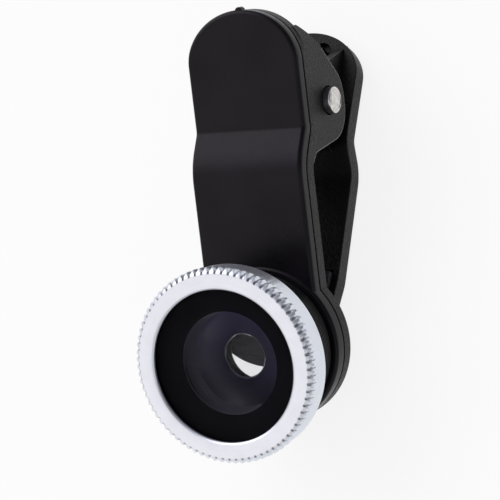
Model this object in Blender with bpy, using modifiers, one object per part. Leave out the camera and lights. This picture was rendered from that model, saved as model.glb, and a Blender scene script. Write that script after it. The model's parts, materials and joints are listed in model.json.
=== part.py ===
"""A clip-on lens for a phone camera.

A wide-angle lens in a knurled ring screws onto a short macro lens, which screws into the front jaw of a spring
clip. The clip has two levers on one steel pin, and a torsion spring that closes them.

Three frames are used. The lens frame has its origin at the centre of the lens's front face, with X across the
clip, Y towards the handles and Z out of the glass. Each lever has a frame of its own at the pivot pin, with Y
towards the end of its handle and Z outward, away from the other lever. The whole clip is then tipped about X
until it lies on its back, as it would on a table, with its origin under the middle of its box.
"""

import math

import bmesh
import bpy
from mathutils import Matrix, Vector

MM = 0.001

# Fits
FIT = 0.25 * MM  # between two pieces that are seated on each other
PIN_FIT = 0.2 * MM  # around the pivot pin, in radius
EAR_GAP = 0.7 * MM  # between the front lever's ears and the rear lever's
JAW_GAP = 0.3 * MM  # between the two pads when the clip is closed

# Silver front barrel, from its front face back
RING_RADIUS = 13.35 * MM  # over the knurl
RING_CHAMFER = 0.7 * MM
KNURL_LENGTH = 2.0 * MM
KNURL_DEPTH = 0.7 * MM
KNURL_COUNT = 80
BAND_STEP = 0.3 * MM  # the plain band is this much smaller than the knurl, in radius
BAND_CHAMFER = 0.25 * MM
BARREL_LENGTH = 4.75 * MM
BARREL_WALL = 1.9 * MM  # from the knurl's tips in to the bore
LIP_WIDTH = 2.95 * MM  # of the flat front face, with its bevels
LIP_BEVEL = 0.4 * MM
LIP_THICKNESS = 0.55 * MM

# Front glass
FRONT_GLASS_THICKNESS = 2.25 * MM
FRONT_GLASS_HOLLOW = 7.05 * MM  # radius of the hollow ground in its back
FRONT_GLASS_SAG = 1.35 * MM

# Black cell of the wide-angle lens
WIDE_LENGTH = 8.0 * MM  # from the front face to the shoulder on the macro lens
CELL_TAPER = 1.2 * MM  # from the barrel's bore in to that shoulder, in radius
CELL_TAPER_LENGTH = 2.4 * MM
CELL_MOUTH = 7.4 * MM
CELL_THREAD_RADIUS = 7.9 * MM
CELL_THREAD_LENGTH = 3.0 * MM
APERTURE_RADIUS = 3.55 * MM
APERTURE_DEPTH = 8.2 * MM  # from the front face
APERTURE_WALL = 0.6 * MM

# The two small glasses and the rings that hold them
SMALL_GLASS_RADIUS = 5.05 * MM
SECOND_GLASS_EDGE = 0.65 * MM
SECOND_GLASS_FRONT_SAG = 0.6 * MM
SECOND_GLASS_BACK_SAG = 0.3 * MM
MACRO_GLASS_EDGE = 0.9 * MM
MACRO_GLASS_SAG = 0.7 * MM
GLASS_RING_BORE = 4.2 * MM
GLASS_RING_THICKNESS = 0.6 * MM

# Black macro barrel
MACRO_LENGTH = 4.0 * MM  # from shoulder to shoulder
MACRO_RADIUS = 10.2 * MM
MACRO_CHAMFER = 0.25 * MM
MACRO_GROOVES = 3
MACRO_GROOVE_DEPTH = 0.25 * MM
MACRO_THREAD_RADIUS = 6.2 * MM
MACRO_THREAD_LENGTH = 3.9 * MM
MACRO_THROAT = 4.6 * MM
MACRO_THROAT_LENGTH = 0.7 * MM

# Both levers
LEVER_WIDTH = 16.8 * MM
JAW_REACH = 31.8 * MM  # from the pivot down to the lens axis
HANDLE_CURL = 0.4 * MM  # the handles' ends curve in by this much
CURL_LENGTH = 5.4 * MM
CURL_RADIUS = 14.0 * MM
CREASE_RADIUS = 1.2 * MM
EAR_ROOT_RADIUS = 1.2 * MM
EAR_INSET = 0.05 * MM  # from a lever's side in to its ear's

# Front lever
HANDLE_LENGTH = 13.9 * MM  # from the pivot to the end of the handle
ARCH_RISE = 7.4 * MM  # the rounded end of the handle
HANDLE_DEPTH = 8.35 * MM  # from the pivot out to the handle's face
CREASE_DROP = 2.5 * MM  # from the pivot down to the crease under the handle
BULGE_DROP = 6.8 * MM
BULGE_RADIUS = 9.0 * MM
ARM_DEPTH = 11.0 * MM  # from the pivot out to the arm's face
COVER_WALL = 1.7 * MM
COVER_EDGE = 0.6 * MM  # radius along the cover's outer edge
SEAM = 0.3 * MM
FRAME_WALL = 1.95 * MM
BOSS_RISE = 0.3 * MM  # the cover's round boss stands proud of its arm
DISC_RADIUS = 11.05 * MM
DISC_EDGE = 0.35 * MM
FRONT_EAR_WALL = 1.7 * MM
FRONT_EAR_NOSE = 5.0 * MM  # radius of the ear around the pin
FRONT_EAR_HEEL = 5.2 * MM  # how far the ear reaches below the pin
FRONT_EAR_BROW = 11.2 * MM  # how far it reaches above the pin
FRONT_HEEL_RADIUS = 4.6 * MM
FRONT_EAR_SLANT = 1.3 * MM  # its lower edge is this much lower at its root than at its nose
NUB_RADIUS = 0.6 * MM
NUB_RISE = 0.4 * MM

# Rear lever
REAR_WALL = 2.95 * MM
REAR_EDGE = 0.8 * MM
REAR_HANDLE_LENGTH = 14.2 * MM
REAR_ARCH_RISE = 7.2 * MM
REAR_HANDLE_DEPTH = 9.55 * MM
REAR_CREASE_DROP = 2.0 * MM
REAR_BULGE_DROP = 5.6 * MM
REAR_BULGE_DEPTH = 12.7 * MM
REAR_BULGE_RADIUS = 6.0 * MM
REAR_ARM_DEPTH = 13.3 * MM
REAR_BEND_RADIUS = 5.0 * MM
REAR_FOOT_RISE = 3.84 * MM  # from the lens axis up to the bend into the jaw's foot
REAR_TIP_DROP = 2.6 * MM  # how far the rear jaw reaches below the lens axis
REAR_TIP_RISE = 9.6 * MM  # the length over which the jaw narrows to its round tip
REAR_EAR_WALL = 1.2 * MM
REAR_EAR_NOSE = 3.8 * MM
REAR_EAR_HEEL = 3.9 * MM
REAR_EAR_BROW = 11.1 * MM
REAR_HEEL_RADIUS = 3.6 * MM
REAR_EAR_SLANT = 0.2 * MM

# Pads
PAD_SEAT = 0.6 * MM  # depth of the recess that a pad is glued in
PAD_PROUD = 0.75 * MM
FRONT_PAD_OUTER = 9.2 * MM
FRONT_PAD_INNER = 7.2 * MM
REAR_PAD_MARGIN = 1.1 * MM
REAR_PAD_TOP = 7.5 * MM  # above the lens axis
RIB_PITCH = 0.8 * MM
RIB_DEPTH = 0.2 * MM

# Pin and spring
PIN_RADIUS = 1.85 * MM
PIN_PROUD = 1.05 * MM
PIN_CHAMFER = 0.2 * MM
WIRE_RADIUS = 0.55 * MM
COIL_RADIUS = 2.9 * MM
COIL_TURNS = 4
COIL_PITCH = 1.15 * MM
LEG_REACH = 10.9 * MM  # from the pivot up to the legs' ends
LEG_BEND_RADIUS = 1.0 * MM
LEG_RECESS_RADIUS = 1.4 * MM
LEG_RECESS_DEPTH = 0.9 * MM

# Facets
RING_STEPS = 48
SMALL_STEPS = 32
ARC_TURN = math.radians(16)

# Stations along the optical axis, worked out from the sizes above
BARREL_BORE = RING_RADIUS - BARREL_WALL
LIP_RADIUS = RING_RADIUS - LIP_WIDTH
CELL_RADIUS = BARREL_BORE - FIT - CELL_TAPER
GLASS_FRONT = -(LIP_THICKNESS + FIT)
GLASS_BACK = GLASS_FRONT - FRONT_GLASS_THICKNESS
CELL_FRONT = GLASS_BACK - FIT
CELL_THREAD_END = -(WIDE_LENGTH + CELL_THREAD_LENGTH)
APERTURE_BACK = -(APERTURE_DEPTH + APERTURE_WALL)
MACRO_FRONT = -(WIDE_LENGTH + FIT)
MACRO_BACK = MACRO_FRONT - MACRO_LENGTH
MACRO_SEAT = MACRO_BACK - FIT
MACRO_THREAD_END = MACRO_BACK - MACRO_THREAD_LENGTH
BOSS_FACE = MACRO_BACK - FIT
PIVOT = Vector((0, JAW_REACH, BOSS_FACE - BOSS_RISE - ARM_DEPTH))

HALF_WIDTH = LEVER_WIDTH / 2
FRAME_TOP = COVER_WALL + SEAM  # depths below the front lever's outer face
FRAME_BACK = FRAME_TOP + FRAME_WALL
FRONT_PAD_FACE = ARM_DEPTH - FRAME_BACK - PAD_PROUD  # this depth and the next are from the pivot
REAR_FOOT_BACK = FRONT_PAD_FACE - JAW_GAP - PAD_PROUD - REAR_WALL
BEND_DROP = JAW_REACH - REAR_FOOT_RISE
CLOSED_ANGLE = math.asin(REAR_ARM_DEPTH / math.hypot(BEND_DROP, REAR_FOOT_BACK)) + math.atan2(
    REAR_FOOT_BACK, BEND_DROP
)  # between the levers' backs when the jaws meet
COIL_SWEEP = 2 * math.pi * COIL_TURNS + math.pi - CLOSED_ANGLE  # from the front leg to the rear one
COIL_HALF = COIL_PITCH * COIL_SWEEP / (4 * math.pi)  # from the clip's middle to each leg
PAD_THICKNESS = PAD_SEAT - FIT + PAD_PROUD


def collection(name):
    made = bpy.data.collections.new(name)
    bpy.context.scene.collection.children.link(made)
    return made


for old in list(bpy.data.objects):
    bpy.data.objects.remove(old, do_unlink=True)

PARTS = collection("clip_on_lens")
CUTTERS = collection("cutters")


def material(name, colour, roughness, metallic=0.0, transmission=0.0):
    made = bpy.data.materials.new(name)
    made.use_nodes = True
    made.diffuse_color = (*colour, 1)
    shader = made.node_tree.nodes["Principled BSDF"]
    shader.inputs["Base Color"].default_value = (*colour, 1)
    shader.inputs["Roughness"].default_value = roughness
    shader.inputs["Metallic"].default_value = metallic
    shader.inputs["Transmission Weight"].default_value = transmission
    return made


SATIN_BLACK = material("satin_black", (0.012, 0.011, 0.013), 0.35)
GRAINED_BLACK = material("grained_black", (0.020, 0.020, 0.022), 0.6)
PAD_RUBBER = material("pad_rubber", (0.015, 0.015, 0.015), 0.85)
ANODISED_BLACK = material("anodised_black", (0.010, 0.010, 0.011), 0.45, metallic=0.6)
SILVER = material("silver", (0.80, 0.82, 0.87), 0.3, metallic=1.0)
STEEL = material("steel", (0.62, 0.61, 0.60), 0.15, metallic=1.0)
GLASS = material("glass", (0.80, 0.82, 0.90), 0.02, transmission=1.0)


def empty(name, parent=None, location=(0, 0, 0), rotation=(0, 0, 0)):
    made = bpy.data.objects.new(name, None)
    made.empty_display_size = 5 * MM
    made.location = location
    made.rotation_euler = rotation
    made.parent = parent
    PARTS.objects.link(made)
    return made


CLIP = empty("clip_on_lens")
LENS_AXIS = empty("lens_axis", CLIP)
FRONT_LEVER = empty("front_lever", CLIP, PIVOT)
REAR_LEVER = empty("rear_lever_frame", CLIP, PIVOT, (CLOSED_ANGLE, math.pi, 0))


def place(name, mesh, parent, finish=None):
    """A new object: one of the pieces, or a cutter where it has no finish."""
    made = bpy.data.objects.new(name, mesh)
    made.parent = parent
    if finish is None:
        made.hide_render = True
        made.display_type = "WIRE"
        CUTTERS.objects.link(made)
    else:
        mesh.materials.clear()
        mesh.materials.append(finish)
        PARTS.objects.link(made)
    return made


def boolean(piece, operation, other):
    change = piece.modifiers.new(operation.lower(), "BOOLEAN")
    change.operation = operation
    change.solver = "EXACT"
    change.object = other


def shade(piece, sharp_over=math.radians(35)):
    piece.data.shade_smooth()
    piece.data.set_sharp_from_angle(angle=sharp_over)


# Outlines


def filleted(corners):
    """Points along straight runs between corners (a, b, radius), each corner rounded by its radius."""
    points = []
    for index, (a, b, radius) in enumerate(corners):
        here = Vector((a, b))
        if radius == 0:
            points.append(here)
            continue
        before = (Vector(corners[index - 1][:2]) - here).normalized()
        after = (Vector(corners[index + 1][:2]) - here).normalized()
        half = before.angle(after) / 2
        centre = here + (before + after).normalized() * radius / math.sin(half)
        start = here + before * radius / math.tan(half) - centre
        side = math.copysign(1, before.y * after.x - before.x * after.y)
        sweep = (math.pi - 2 * half) * side
        steps = max(2, math.ceil(abs(sweep) / ARC_TURN))
        for step in range(steps + 1):
            points.append(centre + Matrix.Rotation(sweep * step / steps, 2) @ start)
    return points


def stations(path):
    """Length along the path at each of its points."""
    lengths = [0.0]
    for one, two in zip(path, path[1:]):
        lengths.append(lengths[-1] + (two - one).length)
    return lengths


def normals(path):
    """Outward normals at the path's points, longer at a bend so that a wall keeps its thickness."""
    runs = [(two - one).normalized() for one, two in zip(path, path[1:])]
    runs = [Vector((run.y, -run.x)) for run in runs]
    found = []
    for before, after in zip([runs[0], *runs], [*runs, runs[-1]]):
        mean = (before + after).normalized()
        found.append(mean / mean.dot(after))
    return found


def offset(path, depth):
    """The path moved inward by a depth."""
    return [point - normal * depth for point, normal in zip(path, normals(path))]


def depth_at(path, y):
    """The path's second coordinate where its first is y."""
    for one, two in zip(path, path[1:]):
        if two.x <= y <= one.x:
            return one.y + (two.y - one.y) * (one.x - y) / (one.x - two.x)
    raise ValueError("the path doesn't reach this y")


def half_ellipse(width, rise, level, upward, count=18):
    """The end of a lever in plan: from its right side over the end to its left side."""
    turn = 1 if upward else -1
    return [
        Vector(
            (
                width * math.cos(math.pi * step / count),
                level + turn * rise * math.sin(math.pi * step / count),
            )
        )
        for step in range(count + 1)
    ]


# Solids


def flat_mesh(outline, low, high):
    """A flat outline in X and Y, filled and extruded from low to high along Z."""
    curve = bpy.data.curves.new("outline", "CURVE")
    curve.dimensions = "2D"
    curve.fill_mode = "BOTH"
    curve.extrude = (high - low) / 2
    spline = curve.splines.new("POLY")
    spline.points.add(len(outline) - 1)
    spline.use_cyclic_u = True
    for point, (x, y) in zip(spline.points, outline):
        point.co = (x, y, 0, 1)
    guide = bpy.data.objects.new("outline", curve)
    CUTTERS.objects.link(guide)
    bpy.context.view_layer.update()
    solid = guide.evaluated_get(bpy.context.evaluated_depsgraph_get())
    mesh = bpy.data.meshes.new_from_object(solid)
    bpy.data.objects.remove(guide)
    shape = bmesh.new()
    shape.from_mesh(mesh)
    bmesh.ops.remove_doubles(shape, verts=shape.verts, dist=1e-7)
    bmesh.ops.translate(shape, verts=shape.verts, vec=(0, 0, (low + high) / 2))
    bmesh.ops.dissolve_limit(
        shape, angle_limit=math.radians(0.5), verts=shape.verts, edges=shape.edges, use_dissolve_boundaries=False
    )
    bmesh.ops.recalc_face_normals(shape, faces=shape.faces)
    shape.to_mesh(mesh)
    shape.free()
    return mesh


def bent_plate(outline, path, top, bottom, edge=0.0, ribs=None):
    """A plate that follows a path seen from the side.

    The outline gives the plate as if it lay flat, with y the length along the path, and top and bottom are depths
    below the path. The plate is extruded flat, its outer edge is rounded, it is cut across at each bend, and then
    it is folded along the path.
    """
    mesh = flat_mesh([(point.x, -point.y) for point in outline], -bottom, -top)
    shape = bmesh.new()
    shape.from_mesh(mesh)
    if edge:
        rim = [e for e in shape.edges if all(abs(v.co.z + top) < 1e-7 for v in e.verts)]
        bmesh.ops.bevel(
            shape, geom=rim, offset=edge, segments=3, profile=0.5, affect="EDGES", clamp_overlap=True
        )
    lengths = stations(path)
    cuts = list(lengths[1:-1])
    if ribs:
        cuts += ribs
    for length in sorted(cuts):
        bmesh.ops.bisect_plane(
            shape,
            geom=shape.verts[:] + shape.edges[:] + shape.faces[:],
            dist=1e-7,
            plane_co=(0, -length, 0),
            plane_no=(0, 1, 0),
        )
    across = normals(path)
    for vertex in shape.verts:
        length = -vertex.co.y
        depth = -vertex.co.z
        if ribs and depth > (top + bottom) / 2:
            nearest = min(range(len(ribs)), key=lambda index: abs(ribs[index] - length))
            if abs(ribs[nearest] - length) < 1e-7 and nearest % 2:
                depth -= RIB_DEPTH
        index = max(i for i in range(len(path) - 1) if lengths[i] <= length + 1e-9 or i == 0)
        share = (length - lengths[index]) / (lengths[index + 1] - lengths[index])
        point = path[index].lerp(path[index + 1], share)
        normal = across[index].lerp(across[index + 1], share)
        folded = point - normal * depth
        vertex.co = (vertex.co.x, folded.x, folded.y)
    bmesh.ops.recalc_face_normals(shape, faces=shape.faces)
    shape.to_mesh(mesh)
    shape.free()
    return mesh


def side_plate(outline, low, high):
    """An outline of (y, z) points extruded across the clip, from x = low to x = high."""
    mesh = flat_mesh(outline, low, high)
    mesh.transform(Matrix(((0, 0, 1, 0), (1, 0, 0, 0), (0, 1, 0, 0), (0, 0, 0, 1))))
    return mesh


def turned(name, profile, parent, finish=None, steps=RING_STEPS, closed=True):
    """A piece turned about Z: its profile (radius, z) runs down the outer side and, for a ring, up the inner."""
    mesh = bpy.data.meshes.new(name)
    count = len(profile)
    edges = [(index, index + 1) for index in range(count - 1)]
    if closed:
        edges.append((count - 1, 0))
    mesh.from_pydata([(radius, 0, z) for radius, z in profile], edges, [])
    piece = place(name, mesh, parent, finish)
    spin = piece.modifiers.new("turn", "SCREW")
    spin.steps = steps
    spin.render_steps = steps
    spin.use_merge_vertices = True
    spin.merge_threshold = 1e-6
    spin.use_smooth_shade = True
    return piece


def drum(name, radius, low, high, parent, steps=RING_STEPS):
    """A plain turned cutter, from z = low to z = high."""
    return turned(name, [(0, high), (radius, high), (radius, low), (0, low)], parent, steps=steps, closed=False)


def fall(radius, sag, r):
    """How far a ground glass face has fallen from its apex at r, where it falls by sag at its full radius."""
    curvature = (radius**2 + sag**2) / (2 * sag)
    return curvature - math.sqrt(curvature**2 - r**2)


def ground_face(radius, sag, apex, backward, count=4):
    """The profile of a ground face from its apex out to its rim, which lies in front of the apex or behind it."""
    side = -1 if backward else 1
    radii = [radius * step / count for step in range(count + 1)]
    return [(r, apex + side * fall(radius, sag, r)) for r in radii]


# Wide-angle lens


def front_barrel():
    band = RING_RADIUS - BAND_STEP
    barrel = turned(
        "front_barrel",
        [
            (RING_RADIUS - RING_CHAMFER, 0),
            (RING_RADIUS, -RING_CHAMFER),
            (RING_RADIUS, -KNURL_LENGTH + BAND_STEP),
            (band, -KNURL_LENGTH),
            (band, -BARREL_LENGTH + BAND_CHAMFER),
            (band - BAND_CHAMFER, -BARREL_LENGTH),
            (BARREL_BORE, -BARREL_LENGTH),
            (BARREL_BORE, -LIP_THICKNESS),
            (LIP_RADIUS, -LIP_THICKNESS),
            (LIP_RADIUS, -LIP_BEVEL),
            (LIP_RADIUS + LIP_BEVEL, 0),
        ],
        LENS_AXIS,
        SILVER,
        steps=KNURL_COUNT,
    )
    boolean(barrel, "DIFFERENCE", knurl_grooves())


def knurl_grooves():
    """A ring of V grooves that meet the barrel between its knurls: three-sided bars, one edge inward."""
    pitch = 2 * math.pi / KNURL_COUNT
    root = RING_RADIUS - KNURL_DEPTH
    bar = KNURL_DEPTH * 2.2
    length = KNURL_LENGTH + MM
    shape = bmesh.new()
    for index in range(KNURL_COUNT):
        where = Matrix.Rotation(pitch * (index + 0.5), 4, "Z")
        where @= Matrix.Translation((root + bar, 0, MM - length / 2))
        where @= Matrix.Rotation(math.pi / 2, 4, "Z")
        bmesh.ops.create_cone(
            shape, cap_ends=True, segments=3, radius1=bar, radius2=bar, depth=length, matrix=where
        )
    mesh = bpy.data.meshes.new("knurl_grooves")
    shape.to_mesh(mesh)
    shape.free()
    return place("knurl_grooves", mesh, LENS_AXIS)


def front_lens():
    radius = BARREL_BORE - FIT
    hollow = ground_face(
        FRONT_GLASS_HOLLOW, FRONT_GLASS_SAG, GLASS_BACK + FRONT_GLASS_SAG, backward=True, count=6
    )
    turned(
        "front_lens",
        [(0, GLASS_FRONT), (radius, GLASS_FRONT), (radius, GLASS_BACK), *reversed(hollow)],
        LENS_AXIS,
        GLASS,
        closed=False,
    )


def lens_cell():
    radius = BARREL_BORE - FIT
    bore = SMALL_GLASS_RADIUS + FIT
    taper_start = -(BARREL_LENGTH + FIT)
    turned(
        "lens_cell",
        [
            (radius, CELL_FRONT),
            (radius, taper_start),
            (CELL_RADIUS, taper_start - CELL_TAPER_LENGTH / 4),
            (CELL_RADIUS, -WIDE_LENGTH),
            (CELL_THREAD_RADIUS, -WIDE_LENGTH),
            (CELL_THREAD_RADIUS, CELL_THREAD_END),
            (bore, CELL_THREAD_END),
            (bore, APERTURE_BACK),
            (APERTURE_RADIUS, APERTURE_BACK),
            (APERTURE_RADIUS, -APERTURE_DEPTH),
            (CELL_MOUTH, CELL_FRONT),
        ],
        LENS_AXIS,
        ANODISED_BLACK,
    )


def small_glass(name, seat, seat_bore, front_sag, edge, back_sag):
    """A double convex glass behind a seat, and the ring screwed in behind it."""
    radius = SMALL_GLASS_RADIUS
    front = seat - FIT + fall(radius, front_sag, seat_bore)
    back = front - front_sag - edge - back_sag
    turned(
        name,
        [
            *ground_face(radius, front_sag, front, backward=True),
            *reversed(ground_face(radius, back_sag, back, backward=False)),
        ],
        LENS_AXIS,
        GLASS,
        SMALL_STEPS,
        closed=False,
    )
    ring_front = back + fall(radius, back_sag, GLASS_RING_BORE) - FIT
    turned(
        f"{name}_ring",
        [
            (radius, ring_front),
            (radius, ring_front - GLASS_RING_THICKNESS),
            (GLASS_RING_BORE, ring_front - GLASS_RING_THICKNESS),
            (GLASS_RING_BORE, ring_front),
        ],
        LENS_AXIS,
        ANODISED_BLACK,
        SMALL_STEPS,
    )


# Macro lens


def macro_barrel():
    socket = CELL_THREAD_RADIUS + FIT
    socket_end = CELL_THREAD_END - FIT
    bore = SMALL_GLASS_RADIUS + FIT
    pitch = (MACRO_LENGTH - 2 * MACRO_CHAMFER) / (MACRO_GROOVES * 2 + 1)
    outside = [(MACRO_RADIUS - MACRO_CHAMFER, MACRO_FRONT), (MACRO_RADIUS, MACRO_FRONT - MACRO_CHAMFER)]
    for groove in range(MACRO_GROOVES):
        start = MACRO_FRONT - MACRO_CHAMFER - pitch * (2 * groove + 1)
        root = MACRO_RADIUS - MACRO_GROOVE_DEPTH
        outside += [(MACRO_RADIUS, start), (root, start - pitch / 2), (MACRO_RADIUS, start - pitch)]
    turned(
        "macro_barrel",
        [
            *outside,
            (MACRO_RADIUS, MACRO_BACK + MACRO_CHAMFER),
            (MACRO_RADIUS - MACRO_CHAMFER, MACRO_BACK),
            (MACRO_THREAD_RADIUS, MACRO_BACK),
            (MACRO_THREAD_RADIUS, MACRO_THREAD_END),
            (bore, MACRO_THREAD_END),
            (bore, MACRO_SEAT),
            (MACRO_THROAT, MACRO_SEAT),
            (MACRO_THROAT, MACRO_SEAT + MACRO_THROAT_LENGTH),
            (SMALL_GLASS_RADIUS, socket_end),
            (socket, socket_end),
            (socket, MACRO_FRONT),
        ],
        LENS_AXIS,
        ANODISED_BLACK,
    )


# Front lever


def front_path():
    """The front cover's outer face seen from the side, from the handle's end to the lens axis."""
    return filleted(
        [
            (HANDLE_LENGTH, HANDLE_DEPTH - HANDLE_CURL, 0),
            (HANDLE_LENGTH - CURL_LENGTH, HANDLE_DEPTH, CURL_RADIUS),
            (-CREASE_DROP, HANDLE_DEPTH, CREASE_RADIUS),
            (-BULGE_DROP, ARM_DEPTH, BULGE_RADIUS),
            (-JAW_REACH, ARM_DEPTH, 0),
        ]
    )


def front_outline(path):
    """The front lever laid flat: an arched end and straight sides down to the lens axis."""
    arch = half_ellipse(HALF_WIDTH, ARCH_RISE, ARCH_RISE, upward=False)
    end = stations(path)[-1]
    return [*arch, Vector((-HALF_WIDTH, end)), Vector((HALF_WIDTH, end))]


def ear_outline(path, wall_top, wall_back, nose, heel, brow, heel_radius, slant):
    """One ear seen from the side: round about the pin, and rooted in the middle of the lever's wall."""
    inner = offset(path, wall_back)
    middle = offset(path, (wall_top + wall_back) / 2)
    root = Vector((brow, depth_at(inner, brow)))
    tangent = math.atan2(root.y, root.x) - math.acos(nose / root.length)
    touch = Vector((nose * math.cos(tangent), nose * math.sin(tangent)))
    rise = (root - touch).normalized()
    top = root + rise * (wall_back - wall_top) / 2
    bisector = (tangent - math.pi / 2) / 2
    reach = nose / math.cos(bisector + math.pi / 2)
    chin = Vector((reach * math.cos(bisector), reach * math.sin(bisector)))
    low = -heel - slant - 1.6 * EAR_ROOT_RADIUS
    root_depth = depth_at(inner, low) + (wall_back - wall_top) / 8
    corners = [
        (top.x, top.y, 0),
        (chin.x, chin.y, nose),
        (-heel, -nose, min(heel_radius, 0.98 * heel)),
        (-heel - slant, depth_at(inner, -heel), EAR_ROOT_RADIUS),
        (low, root_depth, 0),
        (low, depth_at(middle, low), 0),
    ]
    along = [point for point in reversed(middle) if low < point.x < top.x - EAR_ROOT_RADIUS / 2]
    return [*filleted(corners), *along]


def front_lever():
    path = front_path()
    outline = front_outline(path)
    cover = place("front_cover", bent_plate(outline, path, 0, COVER_WALL, COVER_EDGE), FRONT_LEVER, SATIN_BLACK)
    frame = place("front_frame", bent_plate(outline, path, FRAME_TOP, FRAME_BACK), FRONT_LEVER, GRAINED_BLACK)
    cover_back = ARM_DEPTH - COVER_WALL
    frame_front = ARM_DEPTH - FRAME_TOP
    frame_back = ARM_DEPTH - FRAME_BACK
    boss_face = ARM_DEPTH + BOSS_RISE
    bore = MACRO_THREAD_RADIUS + FIT
    boss = turned(
        "boss",
        [
            (DISC_RADIUS - COVER_EDGE, boss_face),
            (DISC_RADIUS - COVER_EDGE * 0.3, boss_face - COVER_EDGE * 0.3),
            (DISC_RADIUS, boss_face - COVER_EDGE),
            (DISC_RADIUS, cover_back),
            (bore, cover_back),
            (bore, boss_face),
        ],
        FRONT_LEVER,
    )
    disc = turned(
        "disc",
        [
            (DISC_RADIUS, frame_front),
            (DISC_RADIUS, frame_back + DISC_EDGE),
            (DISC_RADIUS - DISC_EDGE, frame_back),
            (FRONT_PAD_OUTER + FIT, frame_back),
            (FRONT_PAD_OUTER + FIT, frame_back + PAD_SEAT),
            (FRONT_PAD_INNER - FIT, frame_back + PAD_SEAT),
            (FRONT_PAD_INNER - FIT, frame_back),
            (bore, frame_back),
            (bore, frame_front),
        ],
        FRONT_LEVER,
    )
    inside = drum("disc_inside", FRONT_PAD_OUTER + 2 * FIT, 0, boss_face + MM, FRONT_LEVER)
    ear = ear_outline(
        path,
        FRAME_TOP,
        FRAME_BACK,
        FRONT_EAR_NOSE,
        FRONT_EAR_HEEL,
        FRONT_EAR_BROW,
        FRONT_HEEL_RADIUS,
        FRONT_EAR_SLANT,
    )
    plan = half_ellipse(HALF_WIDTH - EAR_INSET, ARCH_RISE - EAR_INSET, HANDLE_LENGTH - ARCH_RISE, upward=True)
    plan += [Vector((EAR_INSET - HALF_WIDTH, -JAW_REACH)), Vector((HALF_WIDTH - EAR_INSET, -JAW_REACH))]
    trim = place("front_ear_trim", flat_mesh(plan, -JAW_REACH, JAW_REACH), FRONT_LEVER)
    inner = HALF_WIDTH - EAR_INSET - FRONT_EAR_WALL
    for side, low, high in (("right", inner, LEVER_WIDTH), ("left", -LEVER_WIDTH, -inner)):
        wing = place(f"front_ear_{side}", side_plate(ear, low, high), FRONT_LEVER)
        boolean(wing, "INTERSECT", trim)
        boolean(frame, "UNION", wing)
    boolean(frame, "DIFFERENCE", pin_bore("front_pin_bore", FRONT_LEVER))
    boolean(cover, "UNION", nub(path))
    boolean(frame, "DIFFERENCE", leg_recess("front_leg_recess", path, FRAME_BACK, FRONT_LEVER))
    for piece, ring in ((cover, boss), (frame, disc)):
        boolean(piece, "DIFFERENCE", inside)
        boolean(piece, "UNION", ring)
    pad_back = FRONT_PAD_FACE
    pad = turned(
        "front_pad",
        [
            (FRONT_PAD_OUTER, pad_back + PAD_THICKNESS),
            (FRONT_PAD_OUTER, pad_back),
            (FRONT_PAD_INNER, pad_back),
            (FRONT_PAD_INNER, pad_back + PAD_THICKNESS),
        ],
        FRONT_LEVER,
        PAD_RUBBER,
    )
    for piece in (boss, disc, inside, pad):
        piece.location.y = -JAW_REACH


def nub(path):
    """The small round nub in the middle of the cover's end."""
    middle = offset(path, COVER_WALL * 0.6)[0]
    made = drum("nub", NUB_RADIUS, -COVER_WALL / 4, COVER_WALL / 4, FRONT_LEVER, steps=16)
    made.location = (0, middle.x + NUB_RISE - NUB_RADIUS, middle.y)
    return made


def pin_bore(name, parent):
    mesh = bpy.data.meshes.new(name)
    shape = bmesh.new()
    radius = PIN_RADIUS + PIN_FIT
    bmesh.ops.create_cone(
        shape, cap_ends=True, segments=SMALL_STEPS, radius1=radius, radius2=radius, depth=2 * LEVER_WIDTH
    )
    shape.to_mesh(mesh)
    shape.free()
    made = place(name, mesh, parent)
    made.rotation_euler = (0, math.pi / 2, 0)
    return made


def leg_recess(name, path, wall_back, parent):
    """A round recess in a handle's inner face, where the bent end of one spring leg lies."""
    inner = depth_at(offset(path, wall_back), LEG_REACH)
    made = drum(name, LEG_RECESS_RADIUS, inner - MM, inner + LEG_RECESS_DEPTH, parent, steps=24)
    made.location.xy = (-COIL_HALF, LEG_REACH)
    return made


# Rear lever


def in_rear_frame(y, depth):
    """A point of the front lever's side view, as the rear lever sees it."""
    cosine = math.cos(CLOSED_ANGLE)
    sine = math.sin(CLOSED_ANGLE)
    return Vector((y * cosine - depth * sine, -y * sine - depth * cosine))


def rear_path():
    """The rear lever's outer face seen from the side, from the handle's end to the tip of the jaw.

    Its jaw ends in a foot that lies parallel to the front jaw when the clip is closed.
    """
    bend = in_rear_frame(-BEND_DROP, REAR_FOOT_BACK)
    tip = in_rear_frame(-(JAW_REACH + REAR_TIP_DROP), REAR_FOOT_BACK)
    return filleted(
        [
            (REAR_HANDLE_LENGTH, REAR_HANDLE_DEPTH - HANDLE_CURL, 0),
            (REAR_HANDLE_LENGTH - CURL_LENGTH, REAR_HANDLE_DEPTH, CURL_RADIUS),
            (-REAR_CREASE_DROP, REAR_HANDLE_DEPTH, CREASE_RADIUS),
            (-REAR_BULGE_DROP, REAR_BULGE_DEPTH, REAR_BULGE_RADIUS),
            (bend.x, bend.y, REAR_BEND_RADIUS),
            (tip.x, tip.y, 0),
        ]
    )


def rear_outline(path, start=0.0, margin=0.0):
    """The rear lever laid flat, or the part of it below a start and inside a margin."""
    end = stations(path)[-1]
    tip = half_ellipse(HALF_WIDTH - margin, REAR_TIP_RISE - margin, end - REAR_TIP_RISE, upward=True)
    if start:
        sides = [point for point in tip if point.y > start]
        width = (HALF_WIDTH - margin) * math.sqrt(1 - ((start - end + REAR_TIP_RISE) / (REAR_TIP_RISE - margin)) ** 2)
        return [Vector((width, start)), *sides, Vector((-width, start))]
    arch = half_ellipse(HALF_WIDTH, REAR_ARCH_RISE, REAR_ARCH_RISE, upward=False)
    return [*arch, *reversed(tip)]


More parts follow.
